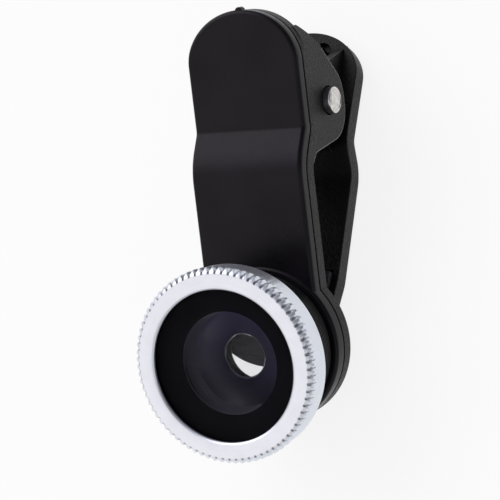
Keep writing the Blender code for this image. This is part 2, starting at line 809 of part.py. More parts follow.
def rear_lever():
    path = rear_path()
    lever = place(
        "rear_lever", bent_plate(rear_outline(path), path, 0, REAR_WALL, REAR_EDGE), REAR_LEVER, GRAINED_BLACK
    )
    ear = ear_outline(
        path, 0, REAR_WALL, REAR_EAR_NOSE, REAR_EAR_HEEL, REAR_EAR_BROW, REAR_HEEL_RADIUS, REAR_EAR_SLANT
    )
    outer = HALF_WIDTH - EAR_INSET - FRONT_EAR_WALL - EAR_GAP
    for side, low in (("right", outer - REAR_EAR_WALL), ("left", -outer)):
        boolean(lever, "UNION", place(f"rear_ear_{side}", side_plate(ear, low, low + REAR_EAR_WALL), REAR_LEVER))
    boolean(lever, "DIFFERENCE", pin_bore("rear_pin_bore", REAR_LEVER))
    boolean(lever, "DIFFERENCE", leg_recess("rear_leg_recess", path, REAR_WALL, REAR_LEVER))

    lengths = stations(path)
    start = lengths[-1] - (REAR_PAD_TOP + REAR_TIP_DROP)
    seat = bent_plate(
        rear_outline(path, start - FIT, REAR_PAD_MARGIN - FIT), path, REAR_WALL - PAD_SEAT, REAR_WALL + MM
    )
    boolean(lever, "DIFFERENCE", place("rear_pad_seat", seat, REAR_LEVER))
    count = 2 * int((lengths[-1] - start - 2 * REAR_PAD_MARGIN) / RIB_PITCH)
    ribs = [start + REAR_PAD_MARGIN + RIB_PITCH / 2 * index for index in range(count)]
    pad = bent_plate(
        rear_outline(path, start, REAR_PAD_MARGIN),
        path,
        REAR_WALL - PAD_SEAT + FIT,
        REAR_WALL + PAD_PROUD,
        ribs=ribs,
    )
    place("rear_pad", pad, REAR_LEVER, PAD_RUBBER)


# Hinge


def pivot_pin():
    mesh = bpy.data.meshes.new("pivot_pin")
    shape = bmesh.new()
    length = LEVER_WIDTH + 2 * PIN_PROUD
    bmesh.ops.create_cone(
        shape, cap_ends=True, segments=SMALL_STEPS, radius1=PIN_RADIUS, radius2=PIN_RADIUS, depth=length
    )
    rims = [e for e in shape.edges if abs(e.verts[0].co.z - e.verts[1].co.z) < length / 2]
    bmesh.ops.bevel(shape, geom=rims, offset=PIN_CHAMFER, segments=2, profile=0.5, affect="EDGES")
    shape.to_mesh(mesh)
    shape.free()
    pin = place("pivot_pin", mesh, CLIP, STEEL)
    pin.location = PIVOT
    pin.rotation_euler = (0, math.pi / 2, 0)


def leg(path, wall_back):
    """One leg in its lever's frame, from its end in the recess down to the coil."""
    floor = depth_at(offset(path, wall_back), LEG_REACH) + LEG_RECESS_DEPTH
    corner = filleted(
        [
            (LEG_REACH, floor - FIT, 0),
            (LEG_REACH, COIL_RADIUS, LEG_BEND_RADIUS),
            (0, COIL_RADIUS, 0),
        ]
    )
    return [Vector((-COIL_HALF, y, depth)) for y, depth in corner]


def torsion_spring():
    """A coil round the pin, with a leg up each handle that is bent into its recess."""
    front = leg(front_path(), FRAME_BACK)
    rear = [REAR_LEVER.rotation_euler.to_matrix() @ point for point in leg(rear_path(), REAR_WALL)]
    steps = math.ceil(COIL_SWEEP / math.radians(30))
    coil = []
    for step in range(1, steps):
        share = step / steps
        angle = math.pi / 2 + COIL_SWEEP * share
        coil.append(
            Vector((COIL_HALF * (2 * share - 1), COIL_RADIUS * math.cos(angle), COIL_RADIUS * math.sin(angle)))
        )
    points = [*front, *coil, *reversed(rear)]
    curve = bpy.data.curves.new("torsion_spring", "CURVE")
    curve.dimensions = "3D"
    curve.bevel_depth = WIRE_RADIUS
    curve.bevel_resolution = 2
    curve.use_fill_caps = True
    spline = curve.splines.new("POLY")
    spline.points.add(len(points) - 1)
    for point, position in zip(spline.points, points):
        point.co = (*position, 1)
    curve.materials.append(STEEL)
    spring = bpy.data.objects.new("torsion_spring", curve)
    spring.parent = CLIP
    spring.location = PIVOT
    PARTS.objects.link(spring)


# Rest


def centre_of_volume(meshes):
    """The shared centroid of closed meshes of (y, z) points, summed over tetrahedra from the origin."""
    total = 0.0
    moment = Vector((0, 0, 0))
    for points, triangles in meshes:
        for triangle in triangles:
            one, two, three = (points[index] for index in triangle)
            volume = one.dot(two.cross(three)) / 6
            total += volume
            moment += volume * (one + two + three) / 4
    return moment / total


def lower_edges(points):
    """The edges of the lower half of the convex hull of (y, z) points, in order of y."""
    hull = []
    for point in sorted(points):
        while len(hull) > 1:
            (ay, az), (by, bz) = hull[-2:]
            if (by - ay) * (point[1] - az) - (bz - az) * (point[0] - ay) > 0:
                break
            hull.pop()
        hull.append(point)
    return list(zip(hull, hull[1:]))


def rest_on_back():
    """Tips the clip onto the part of its back that it balances on, with the middle of its box at the origin."""
    bpy.context.view_layer.update()
    graph = bpy.context.evaluated_depsgraph_get()
    meshes = []
    for piece in PARTS.objects:
        if piece.type == "EMPTY":
            continue
        solid = piece.evaluated_get(graph)
        mesh = solid.to_mesh()
        mesh.calc_loop_triangles()
        points = [piece.matrix_world @ vertex.co for vertex in mesh.vertices]
        meshes.append((points, [tuple(triangle.vertices) for triangle in mesh.loop_triangles]))
        solid.to_mesh_clear()
    centre = centre_of_volume(meshes)
    everything = [point for points, _ in meshes for point in points]
    for (ay, az), (by, bz) in lower_edges({(round(point.y, 7), round(point.z, 7)) for point in everything}):
        run = Vector((by - ay, bz - az))
        along = (centre.y - ay) * run.x + (centre.z - az) * run.y
        if 0 <= along <= run.length_squared:
            tilt = -math.atan2(run.y, run.x)
            break
    turn = Matrix.Rotation(tilt, 3, "X")
    turned_points = [turn @ point for point in everything]
    low = Vector([min(point[axis] for point in turned_points) for axis in range(3)])
    high = Vector([max(point[axis] for point in turned_points) for axis in range(3)])
    CLIP.rotation_euler.x = tilt
    CLIP.location = (-(low.x + high.x) / 2, -(low.y + high.y) / 2, -low.z)


front_barrel()
front_lens()
lens_cell()
small_glass(
    "second_lens",
    APERTURE_BACK,
    APERTURE_RADIUS,
    SECOND_GLASS_FRONT_SAG,
    SECOND_GLASS_EDGE,
    SECOND_GLASS_BACK_SAG,
)
macro_barrel()
small_glass("macro_lens", MACRO_SEAT, MACRO_THROAT, MACRO_GLASS_SAG, MACRO_GLASS_EDGE, MACRO_GLASS_SAG)
front_lever()
rear_lever()
pivot_pin()
torsion_spring()
for made in PARTS.objects:
    if made.type == "MESH":
        shade(made)
rest_on_back()
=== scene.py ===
import math

import bmesh
import bpy
from mathutils import Matrix, Vector
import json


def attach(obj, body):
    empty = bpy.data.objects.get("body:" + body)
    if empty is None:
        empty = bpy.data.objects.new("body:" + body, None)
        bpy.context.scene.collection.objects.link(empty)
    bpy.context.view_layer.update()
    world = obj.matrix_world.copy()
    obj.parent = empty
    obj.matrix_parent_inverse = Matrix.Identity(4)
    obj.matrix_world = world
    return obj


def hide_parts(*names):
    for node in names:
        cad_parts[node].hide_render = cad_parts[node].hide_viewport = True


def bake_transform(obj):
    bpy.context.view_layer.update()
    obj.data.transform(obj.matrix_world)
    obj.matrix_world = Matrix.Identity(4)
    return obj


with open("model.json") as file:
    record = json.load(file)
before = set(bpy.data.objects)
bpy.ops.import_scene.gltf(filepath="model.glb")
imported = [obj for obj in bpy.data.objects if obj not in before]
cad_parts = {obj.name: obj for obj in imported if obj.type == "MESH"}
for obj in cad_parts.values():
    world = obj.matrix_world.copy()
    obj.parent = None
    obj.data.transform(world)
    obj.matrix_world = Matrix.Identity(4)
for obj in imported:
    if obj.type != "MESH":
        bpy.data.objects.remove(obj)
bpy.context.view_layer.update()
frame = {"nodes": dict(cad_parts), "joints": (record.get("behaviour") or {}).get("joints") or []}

MM = 0.001
nodes = frame["nodes"]
joints = {joint["name"]: joint for joint in frame["joints"]}

# The lens frame, in millimetres: its origin is at the centre of the ring's front face, and Z points
# out of the glass.
ORIGIN = Vector(joints["wide_unscrew_turn"]["pos_m"])
AXIS = Vector(joints["wide_unscrew_turn"]["axis"]).normalized()
RIGHT = Vector((1, 0, 0))
PIVOT = Vector(joints["clip_pivot"]["pos_m"])
LENS = Matrix((RIGHT, AXIS.cross(RIGHT), AXIS)).transposed().to_4x4()
LENS.translation = ORIGIN
TILT = LENS.to_euler()


# Camera, fitted to the photograph: its place and its axes in the lens frame

camera = bpy.data.objects.new("camera", bpy.data.cameras.new("camera"))
bpy.context.scene.collection.objects.link(camera)
across = Vector((0.88232, -0.11699, -0.45588))
down = Vector((-0.03351, -0.98177, 0.18709))
inward = Vector((-0.46945, -0.14980, -0.87016))
aim = Matrix((across, -down, -inward)).transposed().to_4x4()
camera.matrix_world = LENS @ Matrix.Translation(Vector((168.11, 67.18, 299.96)) * MM) @ aim
camera.data.sensor_width = 36
camera.data.lens = 190.6
camera.data.clip_start = 0.01
camera.data.clip_end = 5
bpy.context.scene.camera = camera
bpy.context.scene.view_settings.view_transform = "Standard"


# Materials


class Surface:
    """A Principled material and short ways to add nodes to it."""

    def __init__(self, name, colour, roughness, **inputs):
        self.material = bpy.data.materials.new(name)
        self.material.use_nodes = True
        self.material.diffuse_color = (*colour, 1)
        self.tree = self.material.node_tree
        self.bsdf = self.tree.nodes["Principled BSDF"]
        self.colour = colour
        self.roughness = roughness
        self.bump_from = None
        self.bsdf.inputs["Base Color"].default_value = (*colour, 1)
        self.bsdf.inputs["Roughness"].default_value = roughness
        for key, value in inputs.items():
            socket = self.bsdf.inputs[key.replace("_", " ")]
            socket.default_value = (*value, 1) if isinstance(value, tuple) and len(value) == 3 else value

    def node(self, kind, **settings):
        made = self.tree.nodes.new(kind)
        for key, value in settings.items():
            setattr(made, key, value)
        return made

    def link(self, source, target):
        self.tree.links.new(source, target)

    def math(self, operation, one, two=None):
        made = self.node("ShaderNodeMath", operation=operation)
        for socket, value in zip(made.inputs, (one, two)):
            if value is None:
                continue
            if isinstance(value, (int, float)):
                socket.default_value = value
            else:
                self.link(value, socket)
        return made.outputs[0]

    def place(self):
        """Position in the lens frame, in millimetres."""
        where = self.node("ShaderNodeTexCoord")
        mapping = self.node("ShaderNodeMapping", vector_type="TEXTURE")
        mapping.inputs["Location"].default_value = ORIGIN
        mapping.inputs["Rotation"].default_value = TILT
        mapping.inputs["Scale"].default_value = (MM, MM, MM)
        self.link(where.outputs["Object"], mapping.inputs["Vector"])
        return mapping.outputs["Vector"]

    def noise(self, scale, detail=3.0, stretch=None):
        """Noise with features about 1/scale millimetres across."""
        where = self.place()
        if stretch:
            mapping = self.node("ShaderNodeMapping")
            mapping.inputs["Scale"].default_value = stretch
            self.link(where, mapping.inputs["Vector"])
            where = mapping.outputs["Vector"]
        made = self.node("ShaderNodeTexNoise")
        made.inputs["Scale"].default_value = scale
        made.inputs["Detail"].default_value = detail
        self.link(where, made.inputs["Vector"])
        return made.outputs["Fac"]

    def turned_marks(self, scale):
        """Marks left by a lathe: noise that varies only with the radius and the depth."""
        parts = self.node("ShaderNodeSeparateXYZ")
        self.link(self.place(), parts.inputs[0])
        x, y, z = parts.outputs
        square = self.math("ADD", self.math("MULTIPLY", x, x), self.math("MULTIPLY", y, y))
        radius = self.math("SQRT", square)
        made = self.node("ShaderNodeTexNoise", noise_dimensions="1D")
        made.inputs["Scale"].default_value = scale
        made.inputs["Detail"].default_value = 2
        self.link(self.math("SUBTRACT", radius, z), made.inputs["W"])
        return made.outputs["Fac"]

    def height(self, slope):
        """A smooth change up the lens, 0.5 at its axis."""
        parts = self.node("ShaderNodeSeparateXYZ")
        self.link(self.place(), parts.inputs[0])
        return self.math("ADD", self.math("MULTIPLY", parts.outputs["Y"], slope), 0.5)

    def remap(self, source, low, high):
        made = self.node("ShaderNodeMapRange")
        made.inputs["From Min"].default_value = 0.3
        made.inputs["From Max"].default_value = 0.7
        made.inputs["To Min"].default_value = low
        made.inputs["To Max"].default_value = high
        self.link(source, made.inputs["Value"])
        return made.outputs["Result"]

    def vary_roughness(self, source, spread):
        varied = self.remap(source, self.roughness - spread, self.roughness + spread)
        self.link(varied, self.bsdf.inputs["Roughness"])

    def vary_colour(self, source, dark, light):
        made = self.node("ShaderNodeMix", data_type="RGBA")
        made.inputs[6].default_value = (*(c * dark for c in self.colour), 1)
        made.inputs[7].default_value = (*(c * light for c in self.colour), 1)
        self.link(self.remap(source, 0, 1), made.inputs[0])
        self.link(made.outputs[2], self.bsdf.inputs["Base Color"])

    def bump(self, source, height):
        """Bump with a height in millimetres."""
        made = self.node("ShaderNodeBump")
        made.inputs["Strength"].default_value = 1.0
        made.inputs["Distance"].default_value = height * MM
        self.link(source, made.inputs["Height"])
        if self.bump_from:
            self.link(self.bump_from, made.inputs["Normal"])
        self.bump_from = made.outputs["Normal"]
        self.link(self.bump_from, self.bsdf.inputs["Normal"])


satin = Surface("satin_black_moulding", (0.0052, 0.0045, 0.0062), 0.3, Specular_IOR_Level=0.15)
satin.bsdf.inputs["Specular Tint"].default_value = (0.97, 0.93, 1.0, 1)
satin.vary_roughness(satin.noise(0.9), 0.03)
satin.vary_colour(satin.noise(0.12, 2), 0.6, 1.5)
satin.bump(satin.noise(14, 4), 0.004)

grained = Surface("grained_black_moulding", (0.005, 0.005, 0.005), 0.45, Specular_IOR_Level=0.2)
grained.vary_roughness(grained.noise(3), 0.06)
grained.vary_colour(grained.noise(0.3), 0.8, 1.25)
grained.bump(grained.noise(3.6, 2), 0.11)

# Painted highlight: a lighter, glossier black for rounded outer rims, standing in for the glint along an edge
painted_glint = Surface("painted_glint_black_edge", (0.04, 0.04, 0.042), 0.15, Specular_IOR_Level=0.75)
painted_glint.vary_roughness(painted_glint.noise(1.5), 0.04)
painted_glint.vary_colour(painted_glint.noise(2.2), 0.7, 1.5)

rubber = Surface("pad_foam_rubber", (0.04, 0.04, 0.047), 0.85, Specular_IOR_Level=0.3)
rubber.vary_colour(rubber.noise(2.5), 0.7, 1.4)
rubber.bump(rubber.noise(9, 4), 0.05)

anodised = Surface("black_anodised_metal", (0.004, 0.004, 0.0045), 0.34, Specular_IOR_Level=0.25)
anodised.vary_roughness(anodised.noise(4), 0.05)
anodised.bump(anodised.turned_marks(7), 0.02)

painted = Surface("black_lacquer_painted_light", (0.0235, 0.0215, 0.043), 0.34, Specular_IOR_Level=0.3)
painted.vary_roughness(painted.noise(1.5), 0.05)
# Painted light: the lacquer turns lighter towards the top of the lens, standing in for the light on that side
# of the cone
painted.vary_colour(painted.height(0.0286), 0.6, 2.6)

# Painted light: a lighter grey for the bores' walls, standing in for the light they catch
painted_light_bore = Surface("painted_light_grey_bore", (0.125, 0.12, 0.155), 0.45, Specular_IOR_Level=0.4)
painted_light_bore.bump(painted_light_bore.turned_marks(7), 0.01)

silver = Surface("silver_anodised_metal", (0.755, 0.79, 0.855), 0.34, Metallic=0.85)
silver.vary_colour(silver.noise(0.4), 0.97, 1.03)
silver.vary_roughness(silver.turned_marks(3), 0.05)
silver.bump(silver.noise(18, 3), 0.006)
silver.bump(silver.turned_marks(9), 0.004)

# Painted shade: a darker silver for the deepest faces of the knurl's grooves
groove = Surface("knurl_groove_painted_shade", (0.36, 0.37, 0.41), 0.42, Metallic=0.85)
groove.vary_colour(groove.noise(1.2), 0.75, 1.25)

# Bright metal for the ring's rear chamfer, and a painted highlight on the cell's aperture edge
polish_and_painted_glint = Surface("silver_polish_and_painted_glint", (0.88, 0.89, 0.93), 0.12, Metallic=1.0)
polish_and_painted_glint.bump(polish_and_painted_glint.turned_marks(9), 0.001)

steel = Surface("bright_steel", (0.66, 0.64, 0.62), 0.16, Metallic=1.0)
steel.vary_roughness(steel.noise(2.5), 0.06)
steel.vary_colour(steel.noise(1.6), 0.75, 1.12)
steel.bump(steel.noise(1.7, 3), 0.05)

# Dark steel for the spring wire, and painted shade on the pin's side
wire_steel_and_painted_shade = Surface("dark_wire_steel_and_painted_shade", (0.14, 0.14, 0.155), 0.34, Metallic=1.0)
wire_steel_and_painted_shade.vary_roughness(wire_steel_and_painted_shade.noise(3), 0.08)
wire_steel_and_painted_shade.bump(wire_steel_and_painted_shade.noise(9), 0.006)

glass = Surface("coated_glass", (1.0, 1.0, 1.0), 0.0, Transmission_Weight=1.0, IOR=1.5)
glass.bsdf.inputs["Specular Tint"].default_value = (0.006, 0.006, 0.012, 1)
hazy_glass = Surface("small_coated_glass", (0.99, 0.99, 1.0), 0.0, Transmission_Weight=0.965, IOR=1.5)
hazy_glass.bsdf.inputs["Specular Tint"].default_value = (0.02, 0.02, 0.03, 1)

blacking = Surface("lens_edge_black", (0.0062, 0.0056, 0.0088), 0.6, Specular_IOR_Level=0.04)
blacking.vary_colour(blacking.noise(1.2), 0.8, 1.3)

for name, surface in {
    "front_cover": satin,
    "front_frame": grained,
    "rear_lever": grained,
    "front_pad": rubber,
    "rear_pad": rubber,
    "pivot_pin": steel,
    "torsion_spring": steel,
    "front_barrel": silver,
    "lens_cell": anodised,
    "second_lens_ring": anodised,
    "macro_barrel": anodised,
    "macro_lens_ring": anodised,
    "front_lens": glass,
    "second_lens": glass,
    "macro_lens": glass,
}.items():
    nodes[name].data.materials.clear()
    nodes[name].data.materials.append(surface.material)


# Turned pieces


def rounded(corners, step=math.radians(15)):
    """A closed outline from corners (radius, z, fillet), each corner rounded by its fillet."""
    points = []
    count = len(corners)
    for index, corner in enumerate(corners):
        here = Vector(corner[:2])
        fillet = corner[2] if len(corner) > 2 else 0
        if not fillet:
            points.append(here)
            continue
        before = (Vector(corners[index - 1][:2]) - here).normalized()
        after = (Vector(corners[(index + 1) % count][:2]) - here).normalized()
        half = before.angle(after) / 2
        centre = here + (before + after).normalized() * fillet / math.sin(half)
        start = here + before * fillet / math.tan(half) - centre
        side = math.copysign(1, before.y * after.x - before.x * after.y)
        sweep = (math.pi - 2 * half) * side
        steps = max(2, math.ceil(abs(sweep) / step))
        points += [centre + Matrix.Rotation(sweep * k / steps, 2) @ start for k in range(steps + 1)]
    return points


def finish_mesh(name, shape, materials, sharp=30):
    bmesh.ops.recalc_face_normals(shape, faces=shape.faces)
    mesh = bpy.data.meshes.new(name)
    shape.to_mesh(mesh)
    shape.free()
    for material in materials:
        mesh.materials.append(material.material)
    mesh.shade_smooth()
    mesh.set_sharp_from_angle(angle=math.radians(sharp))
    made = bpy.data.objects.new(name, mesh)
    bpy.context.scene.collection.objects.link(made)
    return made


def spun(profile, closed=True, steps=160, centre=(0, 0)):
    """A profile (radius, z) turned about an upright axis through the centre."""
    shape = bmesh.new()
    verts = [shape.verts.new((r, 0, z)) for r, z in profile]
    edges = [shape.edges.new(pair) for pair in zip(verts, verts[1:])]
    if closed:
        edges.append(shape.edges.new((verts[-1], verts[0])))
    bmesh.ops.spin(
        shape,
        geom=verts + edges,
        cent=(0, 0, 0),
        axis=(0, 0, 1),
        angle=2 * math.pi,
        steps=steps,
        use_duplicate=False,
    )
    bmesh.ops.remove_doubles(shape, verts=shape.verts, dist=1e-4)
    bmesh.ops.recalc_face_normals(shape, faces=shape.faces)
    bmesh.ops.translate(shape, verts=shape.verts, vec=(*centre, 0))
    return shape


def turned(name, profile, materials, choose=None, closed=True, steps=160):
    """A profile in millimetres turned about the lens axis. choose gives a face's material by radius and z."""
    shape = spun(profile, closed, steps)
    if choose:
        for face in shape.faces:
            centre = face.calc_center_median()
            face.material_index = choose(centre.xy.length, centre.z)
    bmesh.ops.transform(shape, matrix=LENS @ Matrix.Scale(MM, 4), verts=shape.verts)
    return finish_mesh(name, shape, materials)


def fall(radius, sag, r):
    """How far a ground face drops at r, if it drops by sag at radius."""
    curvature = (radius**2 + sag**2) / (2 * sag)
    return curvature - math.sqrt(curvature**2 - r**2)


def ground_face(radius, sag, apex, side, count=20):
    return [(r, apex + side * fall(radius, sag, r)) for r in (radius * k / count for k in range(count + 1))]


# Radii and places along the lens axis, from the front face back

FIT = 0.25
RING_RADIUS = 13.35
KNURL_COUNT = 80
KNURL_LENGTH = 2.0
KNURL_DEPTH = 0.8
BAND_RADIUS = 13.05
BARREL_LENGTH = 4.75
BARREL_BORE = 11.45
LIP_RADIUS = 10.4
LIP_BEVEL = 0.25
LIP_THICKNESS = 0.55
GLASS_FRONT = -0.8
GLASS_BACK = -3.05
CELL_FRONT = -3.3
GLASS_RADIUS = BARREL_BORE - FIT
GLASS_CHAMFER = 0.15
HOLLOW_RADIUS = 7.05
HOLLOW_SAG = 1.35
CELL_RADIUS = 10.0
CELL_MOUTH = 7.4
CELL_BACK = -11.0
CONE_MOUTH = 7.1
CONE_FRONT = -5.0
CONE_THROAT = 3.72
CONE_BACK = -8.08
WIDE_LENGTH = 8.0
WIDE_THREAD_RADIUS = 7.9
APERTURE_RADIUS = 3.55
APERTURE_FRONT = -8.28
APERTURE_BACK = -8.8
SMALL_BORE = 5.3
SMALL_GLASS_RADIUS = 5.05
SECOND_GLASS_SEAT = -9.05
MACRO_GLASS_SEAT = -12.75
MACRO_RADIUS = 10.2
MACRO_FRONT = -8.25
MACRO_BACK = -12.25
MACRO_SEAT = -12.5
MACRO_THREAD_RADIUS = 6.2
MACRO_THREAD_END = -16.15
MACRO_THROAT = 4.6
MACRO_WELL_RADIUS = 8.15
MACRO_WELL_BACK = -11.25
MACRO_GROOVES = 8
MACRO_GROOVE_PITCH = 0.43


def knurled_ring():
    """The silver ring: rounded grooves cut from its front face back to the plain band, with painted shade on
    the deepest faces of its grooves.
    """
    # Each point of the profile is (radius at a tooth's tip, z, how far a groove reaches into it)
    profile = [
        (LIP_RADIUS, -LIP_THICKNESS, 0),
        (LIP_RADIUS, -LIP_BEVEL, 0),
        (LIP_RADIUS + 0.03, -LIP_BEVEL + 0.05, 0),
        (LIP_RADIUS + LIP_BEVEL - 0.05, -0.03, 0),
        (LIP_RADIUS + LIP_BEVEL + 0.03, 0, 0),
        (12.0, 0, 0),
        (12.5, 0, 1),
        (12.62, -0.01, 1),
        (12.72, -0.06, 1),
        (12.95, -0.24, 0.95),
        (13.2, -0.48, 0.75),
        (RING_RADIUS, -0.7, 0.45),
        (RING_RADIUS, -1.2, 0.38),
        (RING_RADIUS, -1.55, 0.36),
        (RING_RADIUS - 0.04, -1.68, 0.3),
        (13.2, -1.83, 0.15),
        (BAND_RADIUS, -KNURL_LENGTH, 0.1),
        (BAND_RADIUS, -2.15, 0),
        (BAND_RADIUS, -4.42, 0),
        (BAND_RADIUS, -4.5, 0),
        (BAND_RADIUS - 0.05, -4.56, 0),
        (BAND_RADIUS - 0.2, -4.72, 0),
        (BAND_RADIUS - 0.27, -BARREL_LENGTH, 0),
        (BARREL_BORE, -BARREL_LENGTH, 0),
        (BARREL_BORE, -LIP_THICKNESS, 0),
    ]
    polished_faces = (19, 20, 21)
    # The steps across a knurl cut that are coloured dark as painted shade, by the face's number in the
    # profile
    painted_shade_steps = dict.fromkeys((6, 7, 8, 9), (3, 4, 5)) | dict.fromkeys((10, 11, 12), (4,))
    bite = [0, 0, 0.22, 0.6, 0.97, 0.97, 0.6, 0.22]
    across = len(bite)
    total = KNURL_COUNT * across
    shape = bmesh.new()
    rows = []
    for step in range(total):
        angle = 2 * math.pi * (step - 1) / total
        root = RING_RADIUS - KNURL_DEPTH * bite[step % across]
        row = []
        for radius, z, reach in profile:
            r = radius - reach * max(0, radius - root)
            row.append(shape.verts.new((r * math.cos(angle), r * math.sin(angle), z)))
        rows.append(row)
    for step, (one, two) in enumerate(zip(rows, rows[1:] + rows[:1])):
        for index in range(len(profile)):
            follow = (index + 1) % len(profile)
            face = shape.faces.new((one[index], one[follow], two[follow], two[index]))
            if index in polished_faces:
                face.material_index = 1
            elif step % across in painted_shade_steps.get(index, ()):
                face.material_index = 2
    bmesh.ops.transform(shape, matrix=LENS @ Matrix.Scale(MM, 4), verts=shape.verts)
    return finish_mesh("knurled_ring", shape, (silver, polish_and_painted_glint, groove), sharp=25)


ring = knurled_ring()
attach(ring, "wide_turn")
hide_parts("front_barrel")

front_glass = turned(
    "wide_front_glass",
    [
        (0, GLASS_FRONT),
        *((GLASS_RADIUS * k / 8, GLASS_FRONT) for k in range(1, 8)),
        (GLASS_RADIUS - GLASS_CHAMFER, GLASS_FRONT),
        (GLASS_RADIUS, GLASS_FRONT - GLASS_CHAMFER),
        (GLASS_RADIUS, GLASS_BACK),
        *reversed(ground_face(HOLLOW_RADIUS, HOLLOW_SAG, GLASS_BACK + HOLLOW_SAG, -1)),
    ],
    (glass, blacking),
    choose=lambda r, z: int(r > HOLLOW_RADIUS and z < GLASS_FRONT - 0.2),
    closed=False,
)
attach(front_glass, "wide_turn")
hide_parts("front_lens")


def cell_finish(r, z):
    """The number of a face's finish: 0 outside, 1 in the bores, lightened as painted light, 2 in the cone,
    with painted light towards the top, 3 at the aperture's edge, a bright metal edge as a painted highlight.
    """
    behind = z < APERTURE_FRONT - 0.02
    if r > CELL_MOUTH - 0.02 or r > SMALL_BORE + 0.05 and behind:
        return 0
    if behind or z > CONE_FRONT - 0.05 or r < APERTURE_RADIUS + 0.01:
        return 1
    return 3 if r < CONE_THROAT else 2


cell = turned(
    "wide_lens_cell",
    rounded(
        [
            (GLASS_RADIUS, CELL_FRONT, 0.1),
            (GLASS_RADIUS, -5.0, 0.1),
            (CELL_RADIUS, -5.6, 0.2),
            (CELL_RADIUS, -WIDE_LENGTH, 0.12),
            (WIDE_THREAD_RADIUS, -WIDE_LENGTH),
            (WIDE_THREAD_RADIUS, CELL_BACK, 0.15),
            (SMALL_BORE, CELL_BACK, 0.1),
            (SMALL_BORE, APERTURE_BACK),
            (APERTURE_RADIUS, APERTURE_BACK, 0.05),
            (APERTURE_RADIUS, APERTURE_FRONT),
            (CONE_THROAT, CONE_BACK),
            (CONE_MOUTH, CONE_FRONT, 0.05),
            (CELL_MOUTH, CELL_FRONT, 0.08),
        ]
    ),
    # The aperture's edge takes bright metal as a painted highlight
    (anodised, painted_light_bore, painted, polish_and_painted_glint),
    choose=cell_finish,
)
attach(cell, "wide_turn")
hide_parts("lens_cell")


def small_glass(name, node, body, seat, seat_bore, sags, edge):
    """A double convex glass whose front face touches its seat round the seat's bore."""
    radius = SMALL_GLASS_RADIUS
    front_sag, back_sag = sags
    front = seat + fall(radius, front_sag, seat_bore)
    back = front - front_sag - edge - back_sag
    profile = ground_face(radius, front_sag, front, -1) + ground_face(radius, back_sag, back, 1)[::-1]
    made = turned(
        name,
        profile,
        (hazy_glass, blacking),
        choose=lambda r, z: int(r > radius - 0.01),
        closed=False,
        steps=96,
    )
    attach(made, body)
    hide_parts(node)


small_glass("second_glass", "second_lens", "wide_slide", SECOND_GLASS_SEAT, APERTURE_RADIUS, (0.6, 0.3), 0.65)
small_glass("macro_glass", "macro_lens", "macro_slide", MACRO_GLASS_SEAT, MACRO_THROAT, (0.7, 0.7), 0.9)

macro_outside = [(9.95, MACRO_FRONT, 0.1), (MACRO_RADIUS, -8.5, 0.08)]
for ridge in range(MACRO_GROOVES):
    start = -8.62 - ridge * MACRO_GROOVE_PITCH
    macro_outside += [
        (MACRO_RADIUS, start, 0.03),
        (9.98, start - 0.1, 0.04),
        (9.98, start - 0.16, 0.04),
        (MACRO_RADIUS, start - 0.26, 0.03),
    ]
barrel = turned(
    "macro_turned_barrel",
    rounded(
        [
            *macro_outside,
            (MACRO_RADIUS, -12.05, 0.05),
            (10.0, MACRO_BACK, 0.05),
            (MACRO_THREAD_RADIUS, MACRO_BACK),
            (MACRO_THREAD_RADIUS, MACRO_THREAD_END, 0.15),
            (SMALL_BORE, MACRO_THREAD_END, 0.1),
            (SMALL_BORE, MACRO_SEAT),
            (MACRO_THROAT, MACRO_SEAT, 0.05),
            (MACRO_THROAT, -11.8),
            (5.05, MACRO_WELL_BACK),
            (MACRO_WELL_RADIUS, MACRO_WELL_BACK),
            (MACRO_WELL_RADIUS, MACRO_FRONT, 0.1),
        ],
        step=math.radians(30),
    ),
    (anodised, painted_light_bore),
    # The bore and throat take the painted light grey
    choose=lambda r, z: int(r < SMALL_BORE + 0.05),
)
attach(barrel, "macro_turn")
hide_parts("macro_barrel")


# Levers, in a frame of their own at the pin, in millimetres: X across, Y towards the handle's end, Z outward

HALF_WIDTH = 8.4
JAW_REACH = 31.8
HANDLE_LENGTH = 13.9
HANDLE_DEPTH = 8.35
HANDLE_CURL = 0.4
CURL_RADIUS = 14.0
CREASE_RADIUS = 1.2
ARCH_RISE = 7.4
ARM_DEPTH = 11.0
COVER_WALL = 1.7
COVER_EDGE = 0.6
FRAME_TOP = 2.0
FRAME_BACK = 3.95
SEAM_REACH = 0.7  # how far the open seam between cover and frame reaches in
PROUD = 0.03  # keeps faces apart that would lie in one plane
BOSS_RISE = 0.3
DISC_RADIUS = 11.05
DISC_BORE = 6.45
PLATE_OPENING = 9.7  # radius of the hole in a plate under the disc
NUB_RADIUS = 0.6
NUB_RISE = 0.4
PAD_SEAT = 0.6
PIN_RADIUS = 1.85
PIN_PROUD = 1.05
PIN_BORE = 2.05
REAR_WALL = 2.95
REAR_EDGE = 0.8
REAR_HANDLE_LENGTH = 14.2
REAR_HANDLE_DEPTH = 9.55
REAR_ARCH_RISE = 7.2
REAR_ARM_DEPTH = 13.3
REAR_FOOT_BACK = 2.3
REAR_TIP_DROP = 2.6
REAR_TIP_RISE = 9.6
REAR_PAD_LENGTH = 10.1
REAR_PAD_MARGIN = 1.1
BEND_DROP = 27.96
CLOSED_ANGLE = math.asin(REAR_ARM_DEPTH / math.hypot(BEND_DROP, REAR_FOOT_BACK))
CLOSED_ANGLE += math.atan2(REAR_FOOT_BACK, BEND_DROP)
EAR_INSET = 0.05
EAR_ROOT = 1.2
FRONT_EAR_WALL = 1.7
REAR_EAR_WALL = 1.2
EAR_GAP = 0.7
LEG_REACH = 10.9
LEG_RECESS_RADIUS = 1.4
LEG_RECESS_DEPTH = 0.9
COIL_TURNS = 4
COIL_PITCH = 1.15
COIL_SWEEP = 2 * math.pi * COIL_TURNS + math.pi - CLOSED_ANGLE
